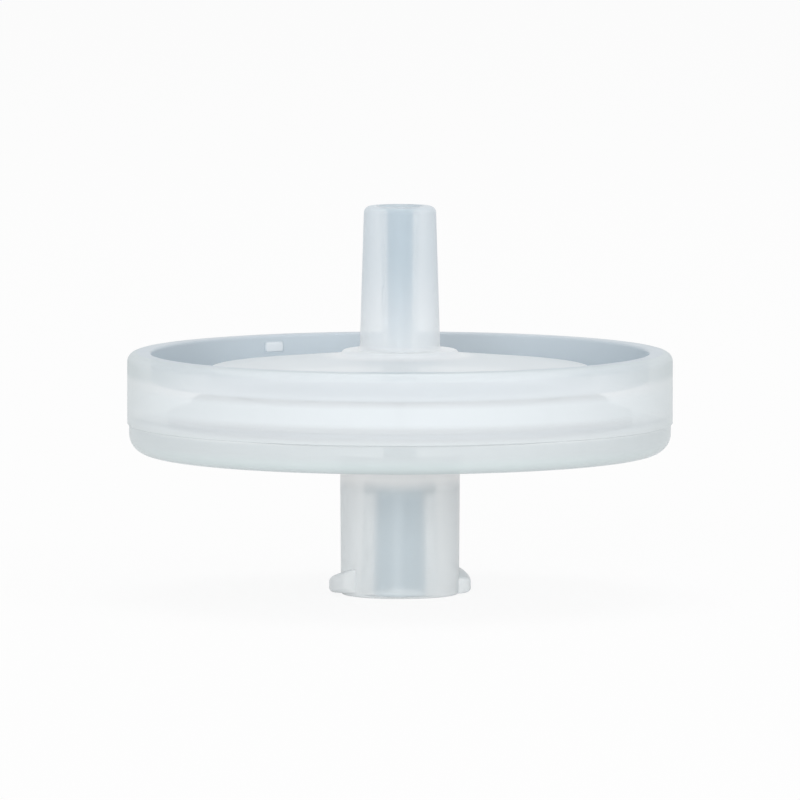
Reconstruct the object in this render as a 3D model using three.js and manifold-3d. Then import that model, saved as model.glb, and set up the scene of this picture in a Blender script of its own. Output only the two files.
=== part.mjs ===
// A 25 mm syringe filter, standing on its inlet: a welded disc of two clear-milky polypropylene mouldings
// with a membrane between them, a female luer-lock socket below and a male luer tube above.
// Millimetres, +Z up, the origin at the centre of the socket's end face.
import * as THREE from "three";
import { mergeVertices } from "three/addons/utils/BufferGeometryUtils.js";
import Module from "manifold-3d";

const wasm = await Module();
wasm.setup();

// Driving dimensions, in millimetres.
const DISC_DIAMETER = 30; // across the outlet half, the wider of the two
const DISC_THICKNESS = 5.55;
const INLET_HALF_THICKNESS = 1.65; // the rest of the disc is the outlet half
const INLET_STEP = 0.1; // how far the inlet half's edge stands back from the outlet half's
const OVERALL_HEIGHT = 21.4;
const SOCKET_LENGTH = 7.8; // below the disc
const SOCKET_DIAMETER = 6.5;
const LUER_TAPER = 0.03; // radius per mm of length, the 6% cone of every luer fitting
const SOCKET_MOUTH_DIAMETER = 4.3;
const SOCKET_DEPTH = 6.2;
const TUBE_TIP_DIAMETER = 3.95;
const TUBE_BORE_DIAMETER = 2.2; // at the tip
const LUG_SPAN = 7.8; // across the two lugs
const LUG_BOTTOM = 0.15; // its underside at its middle, above the socket's end
const LUG_THICKNESS = 1.15; // at its middle
const LUG_FLANK_DROP = 0.15; // fall of its upper side, from the barrel out to the crest
const LUG_SWEEP = THREE.MathUtils.degToRad(52);
const LUG_TURN = THREE.MathUtils.degToRad(17); // the middle of the first lug, round from +X
const LUG_LEAD = 5; // rise of its upper side in one turn, as of the luer-lock thread
const LUG_UNDERSIDE_LEAD = 1.5; // rise of its underside in one turn
const LUG_END = 0.6; // length over which each of its ends curves down into the barrel
const LUG_END_CUT = 0.01; // share of that length that is left off, inside the barrel's wall
const MEMBRANE_DIAMETER = 25;
const MEMBRANE_THICKNESS = 0.15;
const MEMBRANE_HEIGHT = 0.42; // above the parting of the two halves
const MEMBRANE_MARGIN = 0.2; // room round its edge
const RIM_WALL = 1.3;
const GROOVE_WIDTH = 3.2; // between the rim and the conical plate
const GROOVE_DEPTH = 1.65; // below the rim
const PLATE_EDGE_DROP = 0.85; // the plate's edge below the rim
const PLATE_SLOPE = 0.1; // rise per mm towards the tube
const COLLAR_RADIUS = 3.3; // the low boss round the tube's foot
const COLLAR_RISE = 0.15; // its top above the rim
const CHAMBER_RADIUS = 11.5; // where the clamped edge of the membrane begins
const FLOOR_THICKNESS = 1.2; // of the inlet half's flat wall
const OUTLET_CHAMBER_HEIGHT = 0.75; // at its edge
const OUTLET_CHAMBER_CROWN = 0.5; // how much higher it is at the bore
const HOLE_RADIUS = 0.9; // from the socket into the chamber
const SHOULDER_HEIGHT = 0.6; // of the cone between the socket and that hole
const BORE_NARROWING = 0.15; // loss of the tube bore's radius down to the chamber
const DRAFT = 0.05; // growth of the barrel's radius up to the disc
const COLLAR_DRAFT = 0.2; // loss of the collar's radius up to its top
const RIB_COUNT = 8; // in each half
const INLET_RIB = { inner: 3.4, outer: 9.4, width: 0.6 };
const OUTLET_RIB_WIDTH = 0.5;
const OUTLET_RIB_START = 0.6; // from the bore's wall
const RING_RADII = [3.6, 6.2, 8.8]; // of the rings that carry the membrane
const RING_WIDTH = 0.5;
const CLEARANCE = 0.05; // left where two of the pieces meet
const OVERLAP = 0.2; // how far a rib or a lug reaches into the wall that carries it

// Fillets, in millimetres.
const EDGE = 0.15; // on small outer edges
const CORNER = 0.3; // in inside corners and on the lugs
const FAINT = 0.1; // on the collar and the skirt
const FOOT = 0.25; // at the feet of the tube and the collar
const BARREL_FOOT = 0.4; // where the barrel meets the disc
const TIP = 0.35; // on the tube's tip
const RIM = 0.5; // on the rim's outer edge
const DISC = 1.1; // on the disc's lower edge

// Heights and radii that follow from them.
const DISC_BOTTOM = SOCKET_LENGTH;
const PARTING = DISC_BOTTOM + INLET_HALF_THICKNESS;
const RIM_TOP = DISC_BOTTOM + DISC_THICKNESS;
const OUTLET_RADIUS = DISC_DIAMETER / 2;
const INLET_RADIUS = OUTLET_RADIUS - INLET_STEP;
const RIM_INSIDE = OUTLET_RADIUS - RIM_WALL;
const PLATE_RADIUS = RIM_INSIDE - GROOVE_WIDTH;
const PLATE_EDGE = RIM_TOP - PLATE_EDGE_DROP;
const MEMBRANE_BOTTOM = PARTING + MEMBRANE_HEIGHT;
const MEMBRANE_TOP = MEMBRANE_BOTTOM + MEMBRANE_THICKNESS;
const INLET_CLAMP = MEMBRANE_BOTTOM - CLEARANCE;
const OUTLET_CLAMP = MEMBRANE_TOP + CLEARANCE;
const CLAMP_RADIUS = MEMBRANE_DIAMETER / 2 + MEMBRANE_MARGIN;
const CHAMBER_FLOOR = DISC_BOTTOM + FLOOR_THICKNESS;
const CHAMBER_CEILING = OUTLET_CLAMP + OUTLET_CHAMBER_HEIGHT;
const RIB_ROOT = CHAMBER_CEILING + OUTLET_CHAMBER_CROWN + OVERLAP; // buried in the conical plate
const COLLAR_TOP = RIM_TOP + COLLAR_RISE;
const tubeRadius = (z) => TUBE_TIP_DIAMETER / 2 + LUER_TAPER * (OVERALL_HEIGHT - z);
const socketRadius = (z) => SOCKET_MOUTH_DIAMETER / 2 - LUER_TAPER * z;
const plateTop = (r) => PLATE_EDGE + PLATE_SLOPE * (PLATE_RADIUS - r);

const AROUND = 64; // flats in a full turn
const RING_AROUND = 40; // the same, on the small rings inside
const filletSteps = (fillet) => Math.ceil(3 * Math.sqrt(fillet));

// The points of a closed outline in the (radius, height) plane. A corner's third number is its fillet.
function outline(corners) {
  const points = corners.flatMap(([r, z, fillet], i) => {
    const corner = new THREE.Vector2(r, z);
    if (!fillet) return [corner];
    const towards = (step) => {
      const other = corners[(i + step + corners.length) % corners.length];
      return new THREE.Vector2(other[0], other[1]).sub(corner).normalize();
    };
    const back = towards(-1);
    const on = towards(1);
    const half = Math.acos(THREE.MathUtils.clamp(back.dot(on), -1, 1)) / 2;
    const middle = back.clone().add(on).normalize().multiplyScalar(fillet / Math.sin(half)).add(corner);
    const start = back.multiplyScalar(fillet / Math.tan(half)).add(corner).sub(middle).angle();
    const end = on.multiplyScalar(fillet / Math.tan(half)).add(corner).sub(middle).angle();
    const clockwise = THREE.MathUtils.euclideanModulo(end - start, 2 * Math.PI) > Math.PI;
    const arc = new THREE.ArcCurve(middle.x, middle.y, fillet, start, end, clockwise);
    return arc.getPoints(filletSteps(fillet));
  });
  return [...points, points[0].clone()];
}

// The solid of a closed three.js geometry, for joining and cutting.
function solidOf(geometry) {
  geometry.deleteAttribute("normal");
  geometry.deleteAttribute("uv");
  const merged = mergeVertices(geometry, 1e-4);
  return new wasm.Manifold(
    new wasm.Mesh({
      numProp: 3,
      vertProperties: merged.attributes.position.array,
      triVerts: new Uint32Array(merged.index.array),
    }),
  );
}

// A body turned about the Z axis from its outline, listed clockwise from the inside bottom corner.
function turned(corners, around = AROUND) {
  const lathe = new THREE.LatheGeometry(outline(corners), around);
  return solidOf(lathe.rotateX(Math.PI / 2));
}

// A narrow ring of rectangular section that carries the membrane.
function ring(radius) {
  const [inner, outer] = [radius - RING_WIDTH / 2, radius + RING_WIDTH / 2];
  const corners = [[inner, OUTLET_CLAMP], [outer, OUTLET_CLAMP], [outer, RIB_ROOT], [inner, RIB_ROOT]];
  return turned(corners, RING_AROUND);
}

// One straight rib standing on the radius at an angle.
function rib(angle, inner, outer, width, bottom, top) {
  const box = new THREE.BoxGeometry(outer - inner, width, top - bottom);
  box.translate((inner + outer) / 2, 0, (bottom + top) / 2);
  return solidOf(box.rotateZ(angle));
}

// The ribs of one half, evenly spaced.
function star(...size) {
  return Array.from({ length: RIB_COUNT }, (_, i) => rib((i * 2 * Math.PI) / RIB_COUNT, ...size));
}

// One luer-lock lug: a slice of a rounded ring. Its ends curve down into the barrel, and its upper side
// climbs along the thread's helix.
function lug(middle) {
  const root = SOCKET_DIAMETER / 2 - OVERLAP;
  const crest = LUG_SPAN / 2;
  const top = LUG_BOTTOM + LUG_THICKNESS;
  const section = [
    [root, LUG_BOTTOM],
    [crest, LUG_BOTTOM, CORNER],
    [crest, top - LUG_FLANK_DROP, CORNER],
    [root, top],
  ];
  const reach = 2 * crest;
  const slice = new THREE.Shape([
    new THREE.Vector2(0, 0),
    new THREE.Vector2(reach * Math.cos(LUG_SWEEP / 2), -reach * Math.sin(LUG_SWEEP / 2)),
    new THREE.Vector2(reach * Math.cos(LUG_SWEEP / 2), reach * Math.sin(LUG_SWEEP / 2)),
  ]);
  const wedge = solidOf(new THREE.ExtrudeGeometry(slice, { depth: 2 * top, bevelEnabled: false }));
  const cut = turned(section, 2 * AROUND).intersect(wedge);
  const climbing = cut.warp((v) => {
    const around = Math.atan2(v[1], v[0]);
    const fromEnd = ((LUG_SWEEP / 2 - Math.abs(around)) * crest) / LUG_END;
    const rounding = THREE.MathUtils.clamp(fromEnd, LUG_END_CUT, 1);
    const out = Math.hypot(v[0], v[1]);
    const stretch = THREE.MathUtils.lerp(root, out, Math.sqrt(rounding * (2 - rounding))) / out;
    v[0] *= stretch;
    v[1] *= stretch;
    const lead = THREE.MathUtils.lerp(LUG_UNDERSIDE_LEAD, LUG_LEAD, (v[2] - LUG_BOTTOM) / LUG_THICKNESS);
    v[2] += (lead * around) / (2 * Math.PI);
  });
  return climbing.rotate([0, 0, THREE.MathUtils.radToDeg(middle)]);
}

// The lower half: socket, lugs, flat disc, clamping ring and distribution ribs.
function inletHousing() {
  const barrel = SOCKET_DIAMETER / 2;
  const body = turned([
    [socketRadius(0), 0, EDGE],
    [barrel, 0, EDGE],
    [barrel + DRAFT, DISC_BOTTOM, BARREL_FOOT],
    [INLET_RADIUS, DISC_BOTTOM, DISC],
    [INLET_RADIUS, PARTING],
    [CLAMP_RADIUS, PARTING],
    [CLAMP_RADIUS, INLET_CLAMP],
    [CHAMBER_RADIUS, INLET_CLAMP],
    [CHAMBER_RADIUS, CHAMBER_FLOOR],
    [HOLE_RADIUS, CHAMBER_FLOOR],
    [HOLE_RADIUS, SOCKET_DEPTH + SHOULDER_HEIGHT],
    [socketRadius(SOCKET_DEPTH), SOCKET_DEPTH, CORNER],
  ]);
  const { inner, outer, width } = INLET_RIB;
  const ribs = star(inner, outer, width, CHAMBER_FLOOR - OVERLAP, INLET_CLAMP);
  const lugs = [LUG_TURN, LUG_TURN + Math.PI].map(lug);
  return [...lugs, ...ribs].reduce((whole, piece) => whole.add(piece), body);
}

// The upper half: rim, groove, conical plate, tube and the ribs that carry the membrane.
function outletHousing() {
  const skirt = PARTING + CLEARANCE;
  const inside = CLAMP_RADIUS + CLEARANCE;
  const grooveFloor = RIM_TOP - GROOVE_DEPTH;
  const bore = TUBE_BORE_DIAMETER / 2;
  const body = turned([
    [bore - BORE_NARROWING, CHAMBER_CEILING + OUTLET_CHAMBER_CROWN],
    [CHAMBER_RADIUS, CHAMBER_CEILING],
    [CHAMBER_RADIUS, OUTLET_CLAMP],
    [inside, OUTLET_CLAMP],
    [inside, skirt],
    [OUTLET_RADIUS, skirt, FAINT],
    [OUTLET_RADIUS, RIM_TOP, RIM],
    [RIM_INSIDE, RIM_TOP, EDGE],
    [RIM_INSIDE, grooveFloor, CORNER],
    [PLATE_RADIUS, grooveFloor, CORNER],
    [PLATE_RADIUS, PLATE_EDGE, EDGE],
    [COLLAR_RADIUS, plateTop(COLLAR_RADIUS), FOOT],
    [COLLAR_RADIUS - COLLAR_DRAFT, COLLAR_TOP, FAINT],
    [tubeRadius(COLLAR_TOP), COLLAR_TOP, FOOT],
    [tubeRadius(OVERALL_HEIGHT), OVERALL_HEIGHT, TIP],
    [bore, OVERALL_HEIGHT, EDGE],
  ]);
  const ends = [bore + OUTLET_RIB_START, CHAMBER_RADIUS + OVERLAP];
  const ribs = star(...ends, OUTLET_RIB_WIDTH, OUTLET_CLAMP, RIB_ROOT);
  return [...ribs, ...RING_RADII.map(ring)].reduce((whole, piece) => whole.add(piece), body);
}

// The membrane: a plain disc.
function membrane() {
  const radius = MEMBRANE_DIAMETER / 2;
  const disc = new THREE.CylinderGeometry(radius, radius, MEMBRANE_THICKNESS, AROUND);
  disc.rotateX(Math.PI / 2);
  return solidOf(disc.translate(0, 0, (MEMBRANE_BOTTOM + MEMBRANE_TOP) / 2));
}

const polypropylene = new THREE.MeshStandardMaterial({ color: 0xdfe6ea, roughness: 0.35, metalness: 0 });
const polyethersulfone = new THREE.MeshStandardMaterial({ color: 0xf6f7f6, roughness: 0.9, metalness: 0 });

// A named mesh from a solid.
function mesh(name, solid, material) {
  const { numProp, vertProperties, triVerts } = solid.getMesh();
  const geometry = new THREE.BufferGeometry();
  geometry.setAttribute("position", new THREE.BufferAttribute(vertProperties, numProp));
  geometry.setIndex(new THREE.BufferAttribute(triVerts, 1));
  geometry.computeVertexNormals();
  const made = new THREE.Mesh(geometry, material);
  made.name = name;
  return made;
}

const syringeFilter = new THREE.Group();
syringeFilter.name = "syringe_filter";
syringeFilter.add(
  mesh("inlet_housing", inletHousing(), polypropylene),
  mesh("membrane", membrane(), polyethersulfone),
  mesh("outlet_housing", outletHousing(), polypropylene),
);

export default syringeFilter;
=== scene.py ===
# %% [markdown]
# # A syringe filter in milky polypropylene
#
# A syringe filter is a flat disc with a fitting on each side. A syringe locks into the socket below. The
# liquid spreads out under a white membrane, passes through it, and leaves by the tube above. The disc is
# two mouldings welded together round the edge, with the membrane clamped between them. Both mouldings are
# translucent, so the render depends as much on the walls, ribs and hollows inside as on the outside, and
# all of them are modelled here.
#
# The imported part is loaded first. It says where everything is.

# %% Load the imported part
import math
import bmesh
import bpy
from mathutils import Matrix, Vector


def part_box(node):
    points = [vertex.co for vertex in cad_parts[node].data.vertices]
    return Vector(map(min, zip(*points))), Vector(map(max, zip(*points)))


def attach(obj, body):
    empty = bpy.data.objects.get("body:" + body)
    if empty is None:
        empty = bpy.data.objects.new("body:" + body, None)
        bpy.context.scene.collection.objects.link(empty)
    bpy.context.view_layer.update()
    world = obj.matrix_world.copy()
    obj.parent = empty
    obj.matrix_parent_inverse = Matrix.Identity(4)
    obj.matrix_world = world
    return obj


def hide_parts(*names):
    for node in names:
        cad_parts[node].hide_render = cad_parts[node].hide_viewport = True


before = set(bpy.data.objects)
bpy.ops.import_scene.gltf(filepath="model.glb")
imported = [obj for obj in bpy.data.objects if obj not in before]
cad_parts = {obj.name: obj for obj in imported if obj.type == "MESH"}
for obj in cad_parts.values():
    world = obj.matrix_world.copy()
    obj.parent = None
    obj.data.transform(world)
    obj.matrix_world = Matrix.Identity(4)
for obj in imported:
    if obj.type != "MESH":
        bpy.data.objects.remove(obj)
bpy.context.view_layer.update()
print("pieces in the frame:", sorted(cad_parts))

# %% [markdown]
# ## Sizes
#
# The modelling is done in millimetres, because a fillet of 0.3 is easier to read than one of 0.0003. Each
# mesh is scaled to metres when it is finished. The heights and radii that the frame knows are read from
# it, and the rest are the part's own driving dimensions.

# %% Heights and radii of the whole filter
MM = 0.001
inlet_low, inlet_high = (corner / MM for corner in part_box("inlet_housing"))
outlet_low, outlet_high = (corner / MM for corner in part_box("outlet_housing"))
sheet_low, sheet_high = (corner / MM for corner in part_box("membrane"))

CLEARANCE = 0.05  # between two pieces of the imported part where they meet
SOCKET_LENGTH = 7.8
DISC_THICKNESS = 5.55
DISC_BOTTOM = inlet_low.z + SOCKET_LENGTH
RIM_TOP = DISC_BOTTOM + DISC_THICKNESS
PARTING = outlet_low.z - CLEARANCE
TIP = outlet_high.z
INLET_RADIUS = inlet_high.x
OUTLET_RADIUS = outlet_high.x
MEMBRANE_RADIUS = sheet_high.x
print(f"disc {2 * OUTLET_RADIUS:.1f} mm across and {DISC_THICKNESS} mm thick, {TIP:.1f} mm in all")

# %% [markdown]
# ## Fillets
#
# A mould has hardly any sharp edges, because plastic doesn't fill them and they would crack. A few sizes
# of fillet do for the whole part: small ones on outer edges, larger ones where two walls meet, and a
# generous one round the underside of the disc.

# %% The fillets that the two mouldings use
EDGE = 0.15
CORNER = 0.3
FAINT = 0.1
FOOT = 0.25
BARREL_FOOT = 0.4
DISC_EDGE = 1.1
RIM_EDGE = 0.5
TIP_EDGE = 0.35
SEAM_EDGE = 0.04
print(f"fillets from {SEAM_EDGE} mm at the weld to {DISC_EDGE} mm under the disc")

# %% [markdown]
# ## Turned bodies
#
# Nearly everything on this part is round about one axis. The way to make such a shape is to draw half of
# its section and spin it. The section starts as a face with sharp corners. A vertex bevel rounds each
# corner by its own fillet, with a profile of 0.5, which is a true arc. Then the face is dropped, its
# outline is spun once round the Z axis, and `use_merge` closes the seam. A spin can leave the faces
# pointing inwards, so the normals are worked out again.

# %% A section, and the body spun from it
AROUND = 256  # flats in a full turn


def fillet_steps(fillet):
    """How many edges a fillet gets: a larger one needs more of them to look round."""
    return 3 + math.ceil(6 * math.sqrt(fillet))


def section(corners):
    """A bmesh with the closed outline of (radius, height, fillet) corners in the XZ plane."""
    bm = bmesh.new()
    points = [bm.verts.new((r, 0, z)) for r, z, _ in corners]
    bm.faces.new(points)
    for point, (_, _, fillet) in zip(points, corners):
        if fillet:
            bmesh.ops.bevel(bm, geom=[point], offset=fillet, offset_type="OFFSET",
                            segments=fillet_steps(fillet), profile=0.5, affect="VERTICES", material=-1)
    bmesh.ops.delete(bm, geom=bm.faces[:], context="FACES_ONLY")
    return bm


def turned(corners):
    """The body that the section makes when it is spun once round the Z axis."""
    bm = section(corners)
    bmesh.ops.spin(bm, geom=bm.verts[:] + bm.edges[:], cent=(0, 0, 0), axis=(0, 0, 1),
                   angle=2 * math.pi, steps=AROUND, use_merge=True, use_duplicate=False)
    bmesh.ops.recalc_face_normals(bm, faces=bm.faces)
    return bm


print(f"{AROUND} flats, each {2 * math.pi * OUTLET_RADIUS / AROUND:.2f} mm wide at the rim")

# %% [markdown]
# ## Joining
#
# The ribs and lugs are moulded in one with the bodies, so they have to become one skin with them. Where
# two closed shapes only overlap, light would also meet the buried walls, and they would show through the
# plastic. A Boolean modifier with the exact solver welds them and leaves no wall inside. Each mesh
# reports whether it is closed, because a Boolean that goes wrong usually leaves it open.

# %% From working shapes to one finished mesh
SHARP_ANGLE = math.radians(32)
SAME_POINT = 1e-4  # millimetres


def as_object(name, bm):
    """A scene object that holds the bmesh, as it is."""
    mesh = bpy.data.meshes.new(name)
    bm.to_mesh(mesh)
    bm.free()
    obj = bpy.data.objects.new(name, mesh)
    bpy.context.scene.collection.objects.link(obj)
    return obj


def joined(obj, features):
    """The mesh of the object with the features welded on."""
    tools = [as_object("feature", feature) for feature in features]
    for tool in tools:
        union = obj.modifiers.new("weld", "BOOLEAN")
        union.operation = "UNION"
        union.solver = "EXACT"
        union.object = tool
    whole = bpy.data.meshes.new_from_object(obj.evaluated_get(bpy.context.evaluated_depsgraph_get()))
    obj.modifiers.clear()
    for tool in tools:
        bpy.data.objects.remove(tool)
    return whole


def moulding(name, body, features):
    """One finished piece: the body with its features, in metres, smooth but for its true edges."""
    obj = as_object(name, body)
    obj.data = joined(obj, features)
    bm = bmesh.new()
    bm.from_mesh(obj.data)
    bmesh.ops.remove_doubles(bm, verts=bm.verts, dist=SAME_POINT)
    bmesh.ops.recalc_face_normals(bm, faces=bm.faces)
    closed = all(edge.is_manifold for edge in bm.edges)
    volume = bm.calc_volume()
    bmesh.ops.scale(bm, vec=(MM, MM, MM), verts=bm.verts)
    for face in bm.faces:
        face.smooth = True
    bm.to_mesh(obj.data)
    bm.free()
    obj.data.set_sharp_from_angle(angle=SHARP_ANGLE)
    print(f"{name}: {len(obj.data.polygons)} faces, closed {closed}, {volume:.0f} cubic mm")
    return obj


# %% [markdown]
# ## Ribs
#
# Inside each half, eight straight ribs run out from the middle like a star. Below the membrane they
# spread the liquid, and above it they carry the membrane against the pressure. A rib is a cube scaled to
# its length, width and height, then turned to its place. Its foot is buried in the wall that carries it.

# %% One rib, and a star of them
RIB_COUNT = 8
BURIED = 0.2


def rib(angle, inner, outer, width, bottom, top):
    """A straight rib on the radius at an angle."""
    bm = bmesh.new()
    bmesh.ops.create_cube(bm, size=1)
    bmesh.ops.scale(bm, vec=(outer - inner, width, top - bottom), verts=bm.verts)
    bmesh.ops.translate(bm, vec=((inner + outer) / 2, 0, (bottom + top) / 2), verts=bm.verts)
    bmesh.ops.rotate(bm, cent=(0, 0, 0), matrix=Matrix.Rotation(angle, 3, "Z"), verts=bm.verts)
    return bm


def star(*size):
    """The eight ribs of one half."""
    return [rib(i * 2 * math.pi / RIB_COUNT, *size) for i in range(RIB_COUNT)]


print(f"{RIB_COUNT} ribs in a star, one every {360 / RIB_COUNT:.0f} degrees")

# %% [markdown]
# ## Lugs
#
# Two lugs on the socket catch the thread in a syringe's collar. A lug is a short stretch of a thread: its
# upper side climbs by the thread's lead, and its underside stays nearly level with the end of the socket.
# Bevelling its ends after a sweep fails here, because the fillets are as deep as the lug, so the ends are
# shaped with the climb. The rounded section is spun flat through 52 degrees and its two open ends are
# filled. Then each vertex is drawn in towards the barrel near an end, along a quarter of an ellipse, and
# lifted by its share of the lead.

# %% One lug of the luer lock
SOCKET_RADIUS = 3.25
LUG_BURIED = 0.3
LUG_ROOT = SOCKET_RADIUS - LUG_BURIED
LUG_CREST = 3.9
LUG_RISE = 0.15  # of its underside above the socket's end
LUG_BOTTOM = inlet_low.z + LUG_RISE
LUG_THICKNESS = 1.15
LUG_FLANK_DROP = 0.15  # of its upper side, from the barrel out to the crest
LUG_SWEEP = math.radians(52)
LUG_TURN = math.radians(17)  # the middle of the first lug, round from +X
LUG_LEAD = 5.0  # climb of its upper side in a full turn
LUG_UNDERSIDE_LEAD = 1.5
LUG_END = 0.6  # length of each rounded end
LUG_END_CUT = 0.01  # share of the end's length where it is cut off, inside the barrel's wall
LUG_STEPS = 48


def drawn_in(around, radius):
    """The radius of a lug's point after its ends are rounded down into the barrel."""
    from_end = min(around, LUG_SWEEP - around) * LUG_CREST / LUG_END
    share = min(max(from_end, LUG_END_CUT), 1)
    return LUG_ROOT + (radius - LUG_ROOT) * math.sqrt(share * (2 - share))


def lug(middle):
    """A lug centred on an angle round from +X."""
    top = LUG_BOTTOM + LUG_THICKNESS
    bm = section([
        (LUG_ROOT, LUG_BOTTOM, 0),
        (LUG_CREST, LUG_BOTTOM, CORNER),
        (LUG_CREST, top - LUG_FLANK_DROP, CORNER),
        (LUG_ROOT, top, 0),
    ])
    start = bm.edges[:]
    swept = bmesh.ops.spin(bm, geom=bm.verts[:] + start, cent=(0, 0, 0), axis=(0, 0, 1),
                           angle=LUG_SWEEP, steps=LUG_STEPS)
    end = [item for item in swept["geom_last"] if isinstance(item, bmesh.types.BMEdge)]
    for loop in (start, end):
        bmesh.ops.contextual_create(bm, geom=loop)
    for point in bm.verts:
        around = math.atan2(point.co.y, point.co.x)
        radius = point.co.xy.length
        point.co.xy *= drawn_in(around, radius) / radius
        height = (point.co.z - LUG_BOTTOM) / LUG_THICKNESS
        lead = LUG_UNDERSIDE_LEAD + (LUG_LEAD - LUG_UNDERSIDE_LEAD) * height
        point.co.z += lead * (around - LUG_SWEEP / 2) / (2 * math.pi)
    bmesh.ops.recalc_face_normals(bm, faces=bm.faces)
    turn = Matrix.Rotation(middle - LUG_SWEEP / 2, 3, "Z")
    bmesh.ops.rotate(bm, cent=(0, 0, 0), matrix=turn, verts=bm.verts)
    return bm


print(f"a lug runs {LUG_SWEEP * LUG_CREST:.1f} mm round the socket and its top climbs "
      f"{LUG_LEAD * LUG_SWEEP / (2 * math.pi):.2f} mm")

# %% [markdown]
# ## The inlet half
#
# The lower moulding is a flat disc on a barrel. The barrel is a luer socket: its bore narrows by 6% of
# its length, which is what seals on the syringe's tip. At the top of the bore a short cone and a small
# hole lead into the chamber. The ring at the disc's edge clamps the membrane. The list below walks round
# half of its section, from the socket's mouth out over the disc and back along the chamber's floor.

# %% Model the inlet half
LUER_TAPER = 0.03  # radius per millimetre of length
MOUTH_RADIUS = 2.15
SOCKET_DEPTH = 6.2
SHOULDER_HEIGHT = 0.6
HOLE_RADIUS = 0.9
CHAMBER_RADIUS = 11.5
MEMBRANE_MARGIN = 0.2  # room round the membrane's edge
CLAMP_RADIUS = MEMBRANE_RADIUS + MEMBRANE_MARGIN
FLOOR_THICKNESS = 1.2
CHAMBER_FLOOR = DISC_BOTTOM + FLOOR_THICKNESS
INLET_CLAMP = sheet_low.z - CLEARANCE
INLET_RIB_START, INLET_RIB_END, INLET_RIB_WIDTH = 3.4, 9.4, 0.6
DRAFT = 0.05  # growth of the barrel's radius up to the disc

inlet_body = turned([
    (MOUTH_RADIUS, 0, EDGE),
    (SOCKET_RADIUS, 0, EDGE),
    (SOCKET_RADIUS + DRAFT, DISC_BOTTOM, BARREL_FOOT),
    (INLET_RADIUS, DISC_BOTTOM, DISC_EDGE),
    (INLET_RADIUS, PARTING, SEAM_EDGE),
    (CLAMP_RADIUS, PARTING, 0),
    (CLAMP_RADIUS, INLET_CLAMP, FAINT),
    (CHAMBER_RADIUS, INLET_CLAMP, FAINT),
    (CHAMBER_RADIUS, CHAMBER_FLOOR, CORNER),
    (HOLE_RADIUS, CHAMBER_FLOOR, EDGE),
    (HOLE_RADIUS, SOCKET_DEPTH + SHOULDER_HEIGHT, FAINT),
    (MOUTH_RADIUS - LUER_TAPER * SOCKET_DEPTH, SOCKET_DEPTH, CORNER),
])
inlet_star = star(INLET_RIB_START, INLET_RIB_END, INLET_RIB_WIDTH, CHAMBER_FLOOR - BURIED, INLET_CLAMP)
inlet = moulding("inlet_moulding", inlet_body, [lug(LUG_TURN), lug(LUG_TURN + math.pi), *inlet_star])

# %% [markdown]
# ## What carries the membrane
#
# The chamber above the membrane has a star of ribs as well, and three rings that join them. The membrane
# leans on their lower edges, and the liquid drains between them to the tube. The chamber's ceiling rises
# towards the tube, so ribs and rings are drawn up to one height above it and the weld hides what is too
# much. Their lower edges are set a hundredth of a millimetre apart, because a Boolean goes wrong most
# easily where two faces lie in one plane.

# %% Heights of the upper chamber, and a support ring
OUTLET_CLAMP = sheet_high.z + CLEARANCE
CHAMBER_HEIGHT = 0.75  # at its edge
CHAMBER_CEILING = OUTLET_CLAMP + CHAMBER_HEIGHT
CEILING_CROWN = 0.5  # how much higher it is at the tube
RIB_ROOT = CHAMBER_CEILING + CEILING_CROWN + BURIED
RING_RADII = (3.6, 6.2, 8.8)
RING_WIDTH = 0.5
STEP_APART = 0.01


def support_ring(radius):
    """A narrow ring under the plate, which the membrane leans on."""
    inner, outer = radius - RING_WIDTH / 2, radius + RING_WIDTH / 2
    low, high = OUTLET_CLAMP + 2 * STEP_APART, RIB_ROOT - STEP_APART
    return turned([(inner, low, 0), (outer, low, 0), (outer, high, 0), (inner, high, 0)])


print(f"chamber {CHAMBER_HEIGHT} mm high at its edge, rings at {RING_RADII} mm")

# %% [markdown]
# ## The gate pad
#
# Molten plastic enters the mould through a small gate, here on the inside of the rim. A low pad is left
# there. A cube with bevelled edges, half sunk in the wall, is all that it takes. It is fine detail, which
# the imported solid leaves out.

# %% The pad inside the rim
RIM_WALL = 1.3
RIM_INSIDE = OUTLET_RADIUS - RIM_WALL
PAD_WIDTH = 1.2
PAD_HEIGHT = 0.55
PAD_DEPTH = 0.12
PAD_DROP = 0.65  # of its middle below the rim
PAD_MIDDLE = RIM_TOP - PAD_DROP
PAD_TURN = math.radians(121)
PAD_FILLET = 0.08
PAD_FILLET_STEPS = 3


def gate_pad():
    """A low pad on the inside of the rim, where the plastic ran into the mould."""
    bm = bmesh.new()
    bmesh.ops.create_cube(bm, size=1)
    bmesh.ops.scale(bm, vec=(2 * PAD_DEPTH, PAD_WIDTH, PAD_HEIGHT), verts=bm.verts)
    bmesh.ops.translate(bm, vec=(RIM_INSIDE, 0, PAD_MIDDLE), verts=bm.verts)
    bmesh.ops.bevel(bm, geom=bm.edges[:], offset=PAD_FILLET, offset_type="OFFSET",
                    segments=PAD_FILLET_STEPS, profile=0.5, affect="EDGES", material=-1)
    bmesh.ops.rotate(bm, cent=(0, 0, 0), matrix=Matrix.Rotation(PAD_TURN, 3, "Z"), verts=bm.verts)
    return bm


print(f"the pad stands {PAD_DEPTH} mm proud of the rim's inner wall, {RIM_INSIDE:.1f} mm from the axis")

# %% [markdown]
# ## The outlet half
#
# The upper moulding has a tall rim to grip, a groove inside it, and a plate that rises gently like a very
# flat cone to the tube. The tube is the other kind of luer fitting, a male cone. The two halves are
# welded, so the skirt of this one reaches a hair into the other, and no dark gap shows between them.

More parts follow.
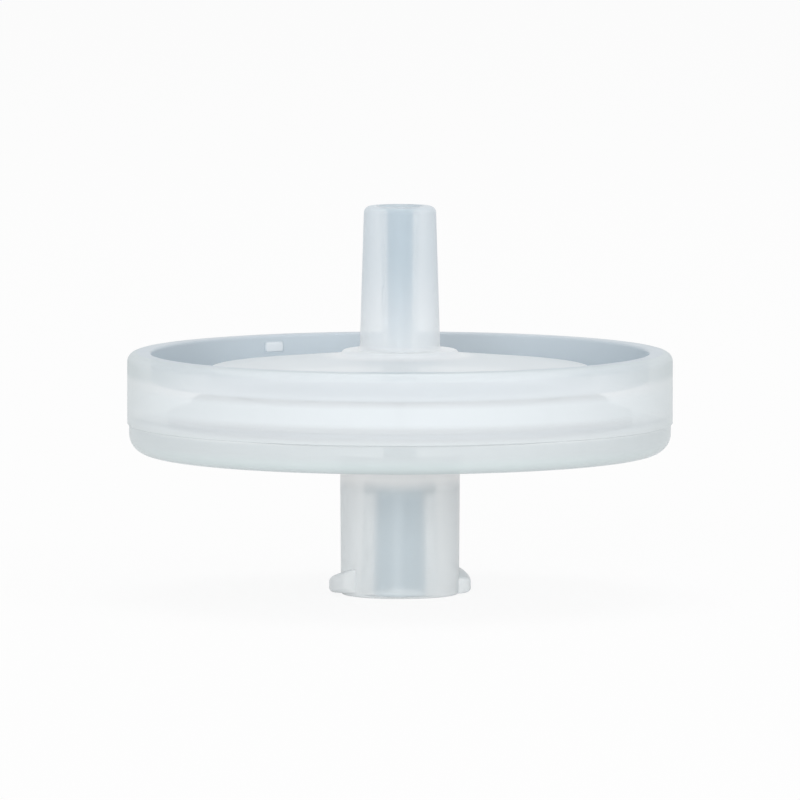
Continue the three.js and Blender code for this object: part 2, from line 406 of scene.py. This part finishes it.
# %% Model the outlet half
GROOVE_WIDTH = 3.2
GROOVE_DEPTH = 1.65
GROOVE_FLOOR = RIM_TOP - GROOVE_DEPTH
PLATE_EDGE_DROP = 0.85  # of the plate's edge below the rim
PLATE_EDGE = RIM_TOP - PLATE_EDGE_DROP
PLATE_RADIUS = RIM_INSIDE - GROOVE_WIDTH
PLATE_SLOPE = 0.1  # rise per millimetre towards the tube
TUBE_TIP_RADIUS = 1.975
BORE_RADIUS = 1.1
BORE_NARROWING = 0.15  # loss of the bore's radius down to the chamber
COLLAR_RADIUS = 3.3
COLLAR_DRAFT = 0.2  # loss of the collar's radius up to its top
COLLAR_RISE = 0.15
COLLAR_TOP = RIM_TOP + COLLAR_RISE
SKIRT_INSIDE = CLAMP_RADIUS + CLEARANCE
WELD_OVERLAP = 0.01
SEAM = PARTING - WELD_OVERLAP
RIB_GAP = 0.6  # from the bore to where the ribs start
OUTLET_RIB_WIDTH = 0.5

outlet_body = turned([
    (BORE_RADIUS - BORE_NARROWING, CHAMBER_CEILING + CEILING_CROWN, EDGE),
    (CHAMBER_RADIUS, CHAMBER_CEILING, CORNER),
    (CHAMBER_RADIUS, OUTLET_CLAMP, FAINT),
    (SKIRT_INSIDE, OUTLET_CLAMP, 0),
    (SKIRT_INSIDE, SEAM, 0),
    (OUTLET_RADIUS, SEAM, SEAM_EDGE),
    (OUTLET_RADIUS, RIM_TOP, RIM_EDGE),
    (RIM_INSIDE, RIM_TOP, EDGE),
    (RIM_INSIDE, GROOVE_FLOOR, CORNER),
    (PLATE_RADIUS, GROOVE_FLOOR, CORNER),
    (PLATE_RADIUS, PLATE_EDGE, EDGE),
    (COLLAR_RADIUS, PLATE_EDGE + PLATE_SLOPE * (PLATE_RADIUS - COLLAR_RADIUS), FOOT),
    (COLLAR_RADIUS - COLLAR_DRAFT, COLLAR_TOP, FAINT),
    (TUBE_TIP_RADIUS + LUER_TAPER * (TIP - COLLAR_TOP), COLLAR_TOP, FOOT),
    (TUBE_TIP_RADIUS, TIP, TIP_EDGE),
    (BORE_RADIUS, TIP, EDGE),
])
outlet_star = star(BORE_RADIUS + RIB_GAP, CHAMBER_RADIUS + BURIED, OUTLET_RIB_WIDTH,
                   OUTLET_CLAMP + STEP_APART, RIB_ROOT)
rings = [support_ring(radius) for radius in RING_RADII]
outlet = moulding("outlet_moulding", outlet_body, [*outlet_star, *rings, gate_pad()])

# %% [markdown]
# ## The membrane
#
# The membrane is a disc of white sheet 0.15 mm thick, cut out with a punch, so its edge is square. It is
# a round face, extruded to that thickness.

# %% Model the membrane
bm = bmesh.new()
bmesh.ops.create_circle(bm, cap_ends=True, segments=AROUND, radius=MEMBRANE_RADIUS)
bmesh.ops.translate(bm, vec=(0, 0, sheet_low.z), verts=bm.verts)
lifted = bmesh.ops.extrude_face_region(bm, geom=bm.faces[:])
lifted_points = [item for item in lifted["geom"] if isinstance(item, bmesh.types.BMVert)]
bmesh.ops.translate(bm, vec=(0, 0, sheet_high.z - sheet_low.z), verts=lifted_points)
sheet = moulding("membrane_sheet", bm, [])

# %% [markdown]
# ## Shader maths in Python
#
# A shader is a graph of nodes, but a formula such as `1 - mask * 0.3` is easier to read than five Math
# nodes. `Wire` wraps one output socket. Arithmetic on it adds the Math nodes that the expression needs,
# and its `node` method adds any other kind of node. Colours are mixed by `paint`, because a Math node
# would turn them grey.

# %% A wire that does arithmetic
class Wire:
    """An output socket of a shader node, on which Python's arithmetic works."""

    def __init__(self, tree, socket=None):
        self.tree = tree
        self.socket = socket

    def node(self, kind, settings, sockets, out=0):
        """Adds a node of any kind: first its settings, then the values or wires of its sockets."""
        made = self.tree.nodes.new(kind)
        for name, value in settings.items():
            setattr(made, name, value)
        for name, value in sockets.items():
            if isinstance(value, Wire):
                self.tree.links.new(value.socket, made.inputs[name])
            else:
                made.inputs[name].default_value = value
        return Wire(self.tree, made.outputs[out])

    def math(self, operation, *values):
        """Adds one Math node."""
        return self.node("ShaderNodeMath", {"operation": operation}, dict(enumerate(values)))

    def __add__(self, other):
        return self.math("ADD", self, other)

    def __sub__(self, other):
        return self.math("SUBTRACT", self, other)

    def __rsub__(self, other):
        return self.math("SUBTRACT", other, self)

    def __mul__(self, other):
        return self.math("MULTIPLY", self, other)

    __radd__ = __add__
    __rmul__ = __mul__

    def rises(self, start, end):
        """0 below start and 1 above end, with a soft step between. It falls if end is below start."""
        step = {"interpolation_type": "SMOOTHSTEP"}
        return self.node("ShaderNodeMapRange", step, {"Value": self, "From Min": start, "From Max": end})

    def between(self, low, high, soft):
        """1 from low to high, and 0 outside, with soft edges."""
        return self.rises(low - soft, low + soft) * self.rises(high + soft, high - soft)

    def paint(self, below, above):
        """A colour that goes from below to above as this mask goes from 0 to 1."""
        mix = {"data_type": "RGBA"}
        return self.node("ShaderNodeMix", mix, {0: self, 6: below, 7: above}, out=2)


def new_material(name):
    """An empty material, with a wire to build its nodes from and its output node."""
    material = bpy.data.materials.new(name)
    material.use_nodes = True
    material.node_tree.nodes.clear()
    output = material.node_tree.nodes.new("ShaderNodeOutputMaterial")
    return material, Wire(material.node_tree), output


def connect(surface, output):
    """Links a finished shader to its output node."""
    surface.tree.links.new(surface.socket, output.inputs["Surface"])


# %% [markdown]
# ## Milky polypropylene: a film, not a fog
#
# Natural polypropylene is neither clear nor white. A thin wall lets the light through with a blue-grey
# cast, and a thick one scatters it back white. Real fog inside the walls would be slow to render, and no
# other program could read it from an export. So each surface is treated as a milky film: its alpha says
# how much light it stops, and its base colour is the colour of that light. Both follow the thickness of
# the wall, which depends only on the radius and the height, so these two come first. In some zones the
# colour is painted light and shade as well. In the masks that
# follow, the small numbers beside a radius or a height are millimetres too: they set where a soft step
# starts and ends, counted from that wall.

# %% Where a point of the plastic lies
plastic, graph, plastic_output = new_material("milky_polypropylene")
place = graph.node("ShaderNodeTexCoord", {}, {}, out="Object")
millimetres = graph.node("ShaderNodeVectorMath", {"operation": "SCALE"}, {0: place, "Scale": 1 / MM})
x, y, z = (graph.node("ShaderNodeSeparateXYZ", {}, {0: millimetres}, out=axis) for axis in range(3))
radius = graph.math("SQRT", x * x + y * y)
print(f"the film follows the radius, up to {OUTLET_RADIUS:.1f} mm, and the height, up to {TIP:.1f} mm")

# %% [markdown]
# ## Zones of the disc's edge
#
# Seen from the side, the disc is a stack of bands. The lower moulding is thin and greenish, and its bottom
# edge is painted lighter, as painted light against the shade under the disc. The seam between the halves
# is painted lighter too, as painted light over its shade. Along the clamped edge of the membrane runs a
# darker line of painted shade, for the shaded gap that shows through the wall there. The solid ring
# between that line and the groove's floor is the whitest part. Above the floor only the thin rim is left.
# Each band is a mask: 1 in its zone and 0 elsewhere, with a soft step between, because a milky wall blurs
# what is behind it.

# %% Masks for the disc and the bands round its edge
disc = z.rises(DISC_BOTTOM - 0.2, DISC_BOTTOM + 0.2)
edge_ring = radius.rises(CLAMP_RADIUS - 0.5, CLAMP_RADIUS + 0.1)
lower_wall = z.rises(PARTING + 0.1, PARTING - 0.1) * edge_ring * disc
# painted light: the disc's bottom edge is lightened against the shade beneath it
lower_edge_painted_light = z.rises(DISC_BOTTOM + 1.0, DISC_BOTTOM + 0.4) * edge_ring * disc
# painted light: a lighter band over the shade in the seam between the two halves
seam_painted_light = z.between(PARTING - 0.1, PARTING + 0.25, 0.1) * edge_ring
# painted shade: a darker line where the shaded gap at the membrane's clamped edge shows through
clamp_painted_shade = z.between(INLET_CLAMP, OUTLET_CLAMP, 0.15) * edge_ring
thick_ring = z.between(OUTLET_CLAMP + 0.3, GROOVE_FLOOR - 0.1, 0.25) * edge_ring
print(f"bands at {PARTING:.2f}, {INLET_CLAMP:.2f}, {OUTLET_CLAMP:.2f} and {GROOVE_FLOOR:.2f} mm")

# %% [markdown]
# ## Zones of the rim, the groove and the plate
#
# Inside the rim, the groove is deep and narrow, and little light reaches its walls, so they are painted a
# darker blue-grey as painted shade. The rim's flat top gets a painted shade nearly as dark, and its rounded
# outer edge a lighter painted highlight. The plate is nearly white, because the membrane lies just beneath
# it. The gate pad is thicker than the wall that it stands on, and it is painted paler, partly as a painted
# highlight.

# %% Masks for the rim, the groove, the plate and the pad
# painted shade: the groove's walls are darkened where little light reaches them
groove_painted_shade = radius.between(PLATE_RADIUS, OUTLET_RADIUS - 0.7, 0.3)
groove_painted_shade = groove_painted_shade * z.rises(GROOVE_FLOOR - 0.2, GROOVE_FLOOR + 0.2)
# painted shade: the rim's flat top is darkened nearly as much as the groove
rim_top_painted_shade = radius.between(RIM_INSIDE, OUTLET_RADIUS - 0.5, 0.1) * z.rises(RIM_TOP - 0.3, RIM_TOP - 0.1)
# painted highlight: the rim's rounded outer edge is lightened
rim_edge_painted_highlight = radius.rises(OUTLET_RADIUS - 0.55, OUTLET_RADIUS - 0.4)
rim_edge_painted_highlight = rim_edge_painted_highlight * z.rises(RIM_TOP - 0.55, RIM_TOP - 0.35)
plate = radius.rises(COLLAR_RADIUS - 0.1, COLLAR_RADIUS + 1.3)
plate = plate * radius.rises(PLATE_RADIUS + 0.4, PLATE_RADIUS + 0.1)
plate = plate * z.rises(PLATE_EDGE - 0.2, PLATE_EDGE - 0.1)
pad_centre = (RIM_INSIDE * math.cos(PAD_TURN), RIM_INSIDE * math.sin(PAD_TURN), PAD_MIDDLE)
apart = {"operation": "DISTANCE"}
from_pad = graph.node("ShaderNodeVectorMath", apart, {0: millimetres, 1: pad_centre}, out="Value")
# the gate pad is painted paler, partly for its thicker plastic and partly as a painted highlight
pad = from_pad.rises(PAD_WIDTH / 2 + 0.05, PAD_WIDTH / 2 - 0.1)
pad = pad * z.between(PAD_MIDDLE - PAD_HEIGHT / 2, PAD_MIDDLE + PAD_HEIGHT / 2, 0.08)
print("the gate pad is painted round", [round(value, 1) for value in pad_centre])

# %% [markdown]
# ## Zones of the two fittings
#
# The barrel is a thin tube, but its neck, above the socket, is solid plastic and white, and it is painted
# whiter still, as painted light in the shade under the disc. The male tube is bluer towards its tip. The
# two bores get masks of their own, because they are finished in another way.

# %% Masks for the barrel, the tube and the bores
# the neck is solid white plastic, and painted whiter still as painted light in the shade under the disc
neck = z.between(SOCKET_DEPTH, DISC_BOTTOM + 0.4, 0.4)
neck = neck * radius.rises(SOCKET_RADIUS + 0.7, SOCKET_RADIUS + 0.2)
tube = z.rises(COLLAR_TOP - 1.5, COLLAR_TOP + 6.0)
tube_bore = radius.rises(BORE_RADIUS + 0.3, BORE_RADIUS + 0.15)
tube_bore = tube_bore * z.rises(COLLAR_TOP - 1.5, COLLAR_TOP + 1.5)
socket_bore = radius.rises(MOUTH_RADIUS + 0.3, MOUTH_RADIUS + 0.1)
socket_bore = socket_bore * z.rises(SOCKET_DEPTH - 0.1, SOCKET_DEPTH - 0.9)
bores = graph.math("MAXIMUM", tube_bore, socket_bore)
print(f"solid neck above {SOCKET_DEPTH} mm, bores {2 * MOUTH_RADIUS} and {2 * BORE_RADIUS} mm across")

# %% [markdown]
# ## The colour and strength of the film
#
# The zones are laid over one another like coats of paint, and a later one covers those before it. Each
# has a tint and the share of the light that it stops.
#
# Two things depend on the direction of a sight line, as they do in a pane of glass. Seen aslant, a wall
# puts more plastic in the line, so the film stops more there. The disc's two ends and the plate also turn
# darker there, partly with the deeper tint of thick plastic and partly as painted shade. And light that
# leaves the plastic on the inside has already been counted once on the way in, so a back face stops much
# less.

# %% Lay the zones over one another
slant = graph.node("ShaderNodeLayerWeight", {}, {"Blend": 0.5}, out="Facing")
aslant = slant * slant
# deeper tint of thick plastic seen aslant, and painted shade at the disc's two ends
edge_on_tint_and_painted_shade = edge_ring * aslant * disc
# deeper tint of thick plastic seen aslant, and painted shade on the plate
plate_aslant_tint_and_painted_shade = plate * aslant
rim_ends_tint_and_painted_shade = edge_on_tint_and_painted_shade * z.rises(GROOVE_FLOOR + 0.2, GROOVE_FLOOR + 0.7)
ZONES = (  # mask, tint, share of the light that it stops
    (neck, (0.97, 0.98, 0.98, 1), 0.90),
    (edge_ring, (0.80, 0.84, 0.87, 1), 0.62),
    (plate, (0.88, 0.91, 0.93, 1), 0.50),
    (plate_aslant_tint_and_painted_shade, (0.67, 0.73, 0.765, 1), 0.65),
    (lower_wall, (0.61, 0.66, 0.68, 1), 0.86),
    (lower_edge_painted_light, (0.65, 0.73, 0.74, 1), 0.86),
    (thick_ring, (0.79, 0.84, 0.87, 1), 0.85),
    (clamp_painted_shade, (0.68, 0.72, 0.75, 1), 0.78),
    (seam_painted_light, (0.75, 0.79, 0.81, 1), 0.70),
    (edge_on_tint_and_painted_shade, (0.62, 0.69, 0.71, 1), 0.85),
    (rim_edge_painted_highlight, (0.73, 0.78, 0.81, 1), 0.66),
    (rim_ends_tint_and_painted_shade, (0.50, 0.58, 0.60, 1), 0.90),
    (groove_painted_shade, (0.50, 0.58, 0.64, 1), 0.85),
    (rim_top_painted_shade, (0.52, 0.59, 0.65, 1), 0.85),
    (pad, (0.74, 0.79, 0.83, 1), 0.85),
    (tube, (0.58, 0.66, 0.72, 1), 0.55),
)
FITTING_TINT, FITTING_FILM = (0.69, 0.74, 0.76, 1), 0.50
DISC_TINT, DISC_FILM = (0.86, 0.89, 0.91, 1), 0.75
SLANT_GAIN = 0.8
BACK_LOSS = 0.65

colour = disc.paint(FITTING_TINT, DISC_TINT)
film = FITTING_FILM + (DISC_FILM - FITTING_FILM) * disc
for zone, tint, stopped in ZONES:
    colour = zone.paint(colour, tint)
    film = film + zone * (stopped - film)
film = film + (1 - film) * slant * SLANT_GAIN
back = graph.node("ShaderNodeNewGeometry", {}, {}, out="Backfacing")
film = film * (1 - back * BACK_LOSS)
shares = [stopped for _, _, stopped in ZONES]
print(f"{len(ZONES)} zones, which stop from {min(shares):.0%} to {max(shares):.0%} of the light")

# %% [markdown]
# ## The surface of the plastic
#
# A moulded surface is satin rather than glossy, slightly cloudy, and never quite flat: it sinks a little
# where the walls are thick. One noise varies the roughness and a finer one drives a very shallow bump.
#
# The two luer bores are different. Light that comes through the wall meets them from inside the plastic,
# bends there, and beyond a certain angle can't get out at all. That draws the darker stripe down the
# middle of a clear tube. A film can't do this, so the bores are mostly a refracting shader, mixed in by
# their mask.

# %% Finish the plastic
cloud = {"Vector": millimetres, "Scale": 0.35, "Detail": 2.0, "Roughness": 0.5}
cloudy = graph.node("ShaderNodeTexNoise", {}, cloud)
ripple = graph.node("ShaderNodeTexNoise", {}, {"Vector": millimetres, "Scale": 0.9, "Detail": 1.0})
sink_marks = graph.node("ShaderNodeBump", {}, {"Strength": 0.10, "Distance": 0.0001, "Height": ripple})
POLYPROPYLENE_IOR = 1.49
CLEAR_SHARE = 0.8  # of the refracting shader in the bores
milky = graph.node("ShaderNodeBsdfPrincipled", {}, {
    "Base Color": colour,
    "Roughness": 0.30 + 0.10 * cloudy,
    "IOR": POLYPROPYLENE_IOR,
    "Specular IOR Level": 0.35,
    "Alpha": film,
    "Normal": sink_marks,
})
clear = graph.node("ShaderNodeBsdfPrincipled", {}, {
    "Base Color": (0.38, 0.49, 0.57, 1),
    "Roughness": 0.30,
    "IOR": POLYPROPYLENE_IOR,
    "Transmission Weight": 1.0,
})
mixed = graph.node("ShaderNodeMixShader", {}, {0: bores * CLEAR_SHARE, 1: milky, 2: clear})
connect(mixed, plastic_output)
print(f"{plastic.name}: {len(plastic.node_tree.nodes)} nodes")

# %% [markdown]
# ## The membrane's finish
#
# A filter membrane is a dense white foam with pores far too small to see. It scatters all the light, so
# it is plainly diffuse, with a little grain in its colour and its surface.

# %% Finish the membrane
foam_white, graph, foam_output = new_material("white_membrane")
place = graph.node("ShaderNodeTexCoord", {}, {}, out="Object")
pores = graph.node("ShaderNodeTexNoise", {}, {"Vector": place, "Scale": 9000.0, "Detail": 2.0})
grain = graph.node("ShaderNodeBump", {}, {"Strength": 0.3, "Distance": 0.00002, "Height": pores})
foam = graph.node("ShaderNodeBsdfPrincipled", {}, {
    "Base Color": pores.paint((0.90, 0.91, 0.90, 1), (0.94, 0.95, 0.94, 1)),
    "Roughness": 0.9,
    "Normal": grain,
})
connect(foam, foam_output)
print(f"{foam_white.name}: {len(foam_white.node_tree.nodes)} nodes")

# %% [markdown]
# ## Three pieces on the frame
#
# The part has no moving joint, so all three pieces ride on its one body, `root`. Each stands for the
# imported solid of the same shape, which is hidden and kept for collision.

# %% Dress the pieces and set them on the frame
for piece, node, finish, slot in (
    (inlet, "inlet_housing", plastic, "polypropylene"),
    (outlet, "outlet_housing", plastic, "polypropylene"),
    (sheet, "membrane", foam_white, "filter_membrane"),
):
    piece.data.materials.clear()
    piece.data.materials.append(finish)
    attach(piece, "root")
    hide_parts(node)
    print(f"{piece.name} stands for {node} and wears {finish.name}")

# %% [markdown]
# ## The table
#
# The filter stands on a plain pale table. Seen from so low, the table runs out to the horizon, and it
# should melt into the background there. So it glows nearly white to the camera, in reflections and
# through the plastic. The tenth of it that doesn't glow is a pale surface, which keeps a faint shadow. To
# all other rays the whole table is that surface.

# %% A table that keeps the shadow
TABLE_HALF = 3.0
TABLE_WHITENESS = 0.90


def seen_directly(graph):
    """1 for rays that show the surroundings: from the camera, in a mirror image or through plastic."""
    rays = [graph.node("ShaderNodeLightPath", {}, {}, out=ray)
            for ray in ("Is Camera Ray", "Is Glossy Ray", "Is Transmission Ray")]
    return graph.math("MAXIMUM", graph.math("MAXIMUM", rays[0], rays[1]), rays[2])


bm = bmesh.new()
bmesh.ops.create_grid(bm, x_segments=1, y_segments=1, size=TABLE_HALF)
table = as_object("table", bm)
pale, graph, pale_output = new_material("pale_table")
lit = graph.node("ShaderNodeBsdfDiffuse", {}, {"Color": (0.92, 0.92, 0.92, 1)})
white = graph.node("ShaderNodeEmission", {}, {"Color": (1, 1, 1, 1), "Strength": 1.0})
shown = seen_directly(graph) * TABLE_WHITENESS
connect(graph.node("ShaderNodeMixShader", {}, {0: shown, 1: lit, 2: white}), pale_output)
table.data.materials.append(pale)
print(f"table {2 * TABLE_HALF:.0f} m across")

# %% [markdown]
# ## The air
#
# The light of a studio comes from all its pale walls as well as from its lamps. The world gives this even
# light, at a strength that leaves the lamps room to shape the plastic. For the rays that show the
# surroundings, the same ones as for the table, it is a plain white background instead.

# %% The air round the filter
AIR_LIGHT = 0.62
world = bpy.data.worlds.new("studio")
bpy.context.scene.world = world
world.use_nodes = True
world.node_tree.nodes.clear()
graph = Wire(world.node_tree)
air = graph.node("ShaderNodeBackground", {}, {"Color": (1, 1, 1, 1), "Strength": AIR_LIGHT})
backdrop = graph.node("ShaderNodeBackground", {}, {"Color": (1, 1, 1, 1), "Strength": 1.0})
sky = graph.node("ShaderNodeMixShader", {}, {0: seen_directly(graph), 1: air, 2: backdrop})
connect(sky, world.node_tree.nodes.new("ShaderNodeOutputWorld"))
print(f"the air lights at {AIR_LIGHT} and looks white")

# %% [markdown]
# ## Lamps
#
# Three soft panels, as in a product studio. The main one stands low in front, almost level with the disc,
# and lights its edge evenly. A weaker one on the right keeps that side from going flat, and one high
# above lights the plate, the groove and the rounded edge of the rim. The front one is kept out of
# reflections, because the flat top of the rim would mirror it to a viewer behind the filter, and that
# glare is plain white. A ray meets many films on its way through both halves, so the light is also
# allowed to pass more of them than usual.

# %% Set the lamps
TRANSPARENT_BOUNCES = 32


def panel(name, place, size, power, mirrored=True):
    """A square area lamp that points at the middle of the disc, and may be kept out of reflections."""
    data = bpy.data.lights.new(name, "AREA")
    data.shape = "SQUARE"
    data.size = size
    data.energy = power
    lamp = bpy.data.objects.new(name, data)
    lamp.location = place
    lamp.visible_glossy = mirrored
    aim = Vector((0, 0, (DISC_BOTTOM + RIM_TOP) / 2 * MM)) - lamp.location
    lamp.rotation_euler = aim.to_track_quat("-Z", "Y").to_euler()
    bpy.context.scene.collection.objects.link(lamp)
    print(f"{name}: {size} m wide, {power} W, {aim.length:.2f} m away")


panel("front_panel", (-0.10, -0.70, 0.12), 0.35, 2.5, mirrored=False)
panel("side_panel", (0.55, -0.35, 0.30), 0.25, 0.5)
panel("top_panel", (0.0, 0.15, 0.60), 0.30, 0.75)
bpy.context.scene.cycles.transparent_max_bounces = TRANSPARENT_BOUNCES

# %% [markdown]
# ## Camera
#
# The filter is seen from just above its rim, from far away and through a long lens, so that it hardly
# tapers. The view transform is Standard, which shows a colour as it is written.

# %% Set the camera
CAMERA_DISTANCE = 0.80
CAMERA_RISE = math.radians(4.75)
VIEW_WIDTH = 0.044
SENSOR = 36.0
lens = bpy.data.cameras.new("camera")
lens.sensor_width = SENSOR
lens.lens = SENSOR * CAMERA_DISTANCE / VIEW_WIDTH
lens.clip_start = 0.01
camera = bpy.data.objects.new("camera", lens)
back = Vector((0, -math.cos(CAMERA_RISE), math.sin(CAMERA_RISE)))
camera.location = Vector((0, 0, TIP / 2 * MM)) + CAMERA_DISTANCE * back
camera.rotation_euler = (-back).to_track_quat("-Z", "Y").to_euler()
bpy.context.scene.collection.objects.link(camera)
bpy.context.scene.camera = camera
bpy.context.scene.view_settings.view_transform = "Standard"
print(f"a {lens.lens:.0f} mm lens shows {VIEW_WIDTH / MM:.0f} mm across")
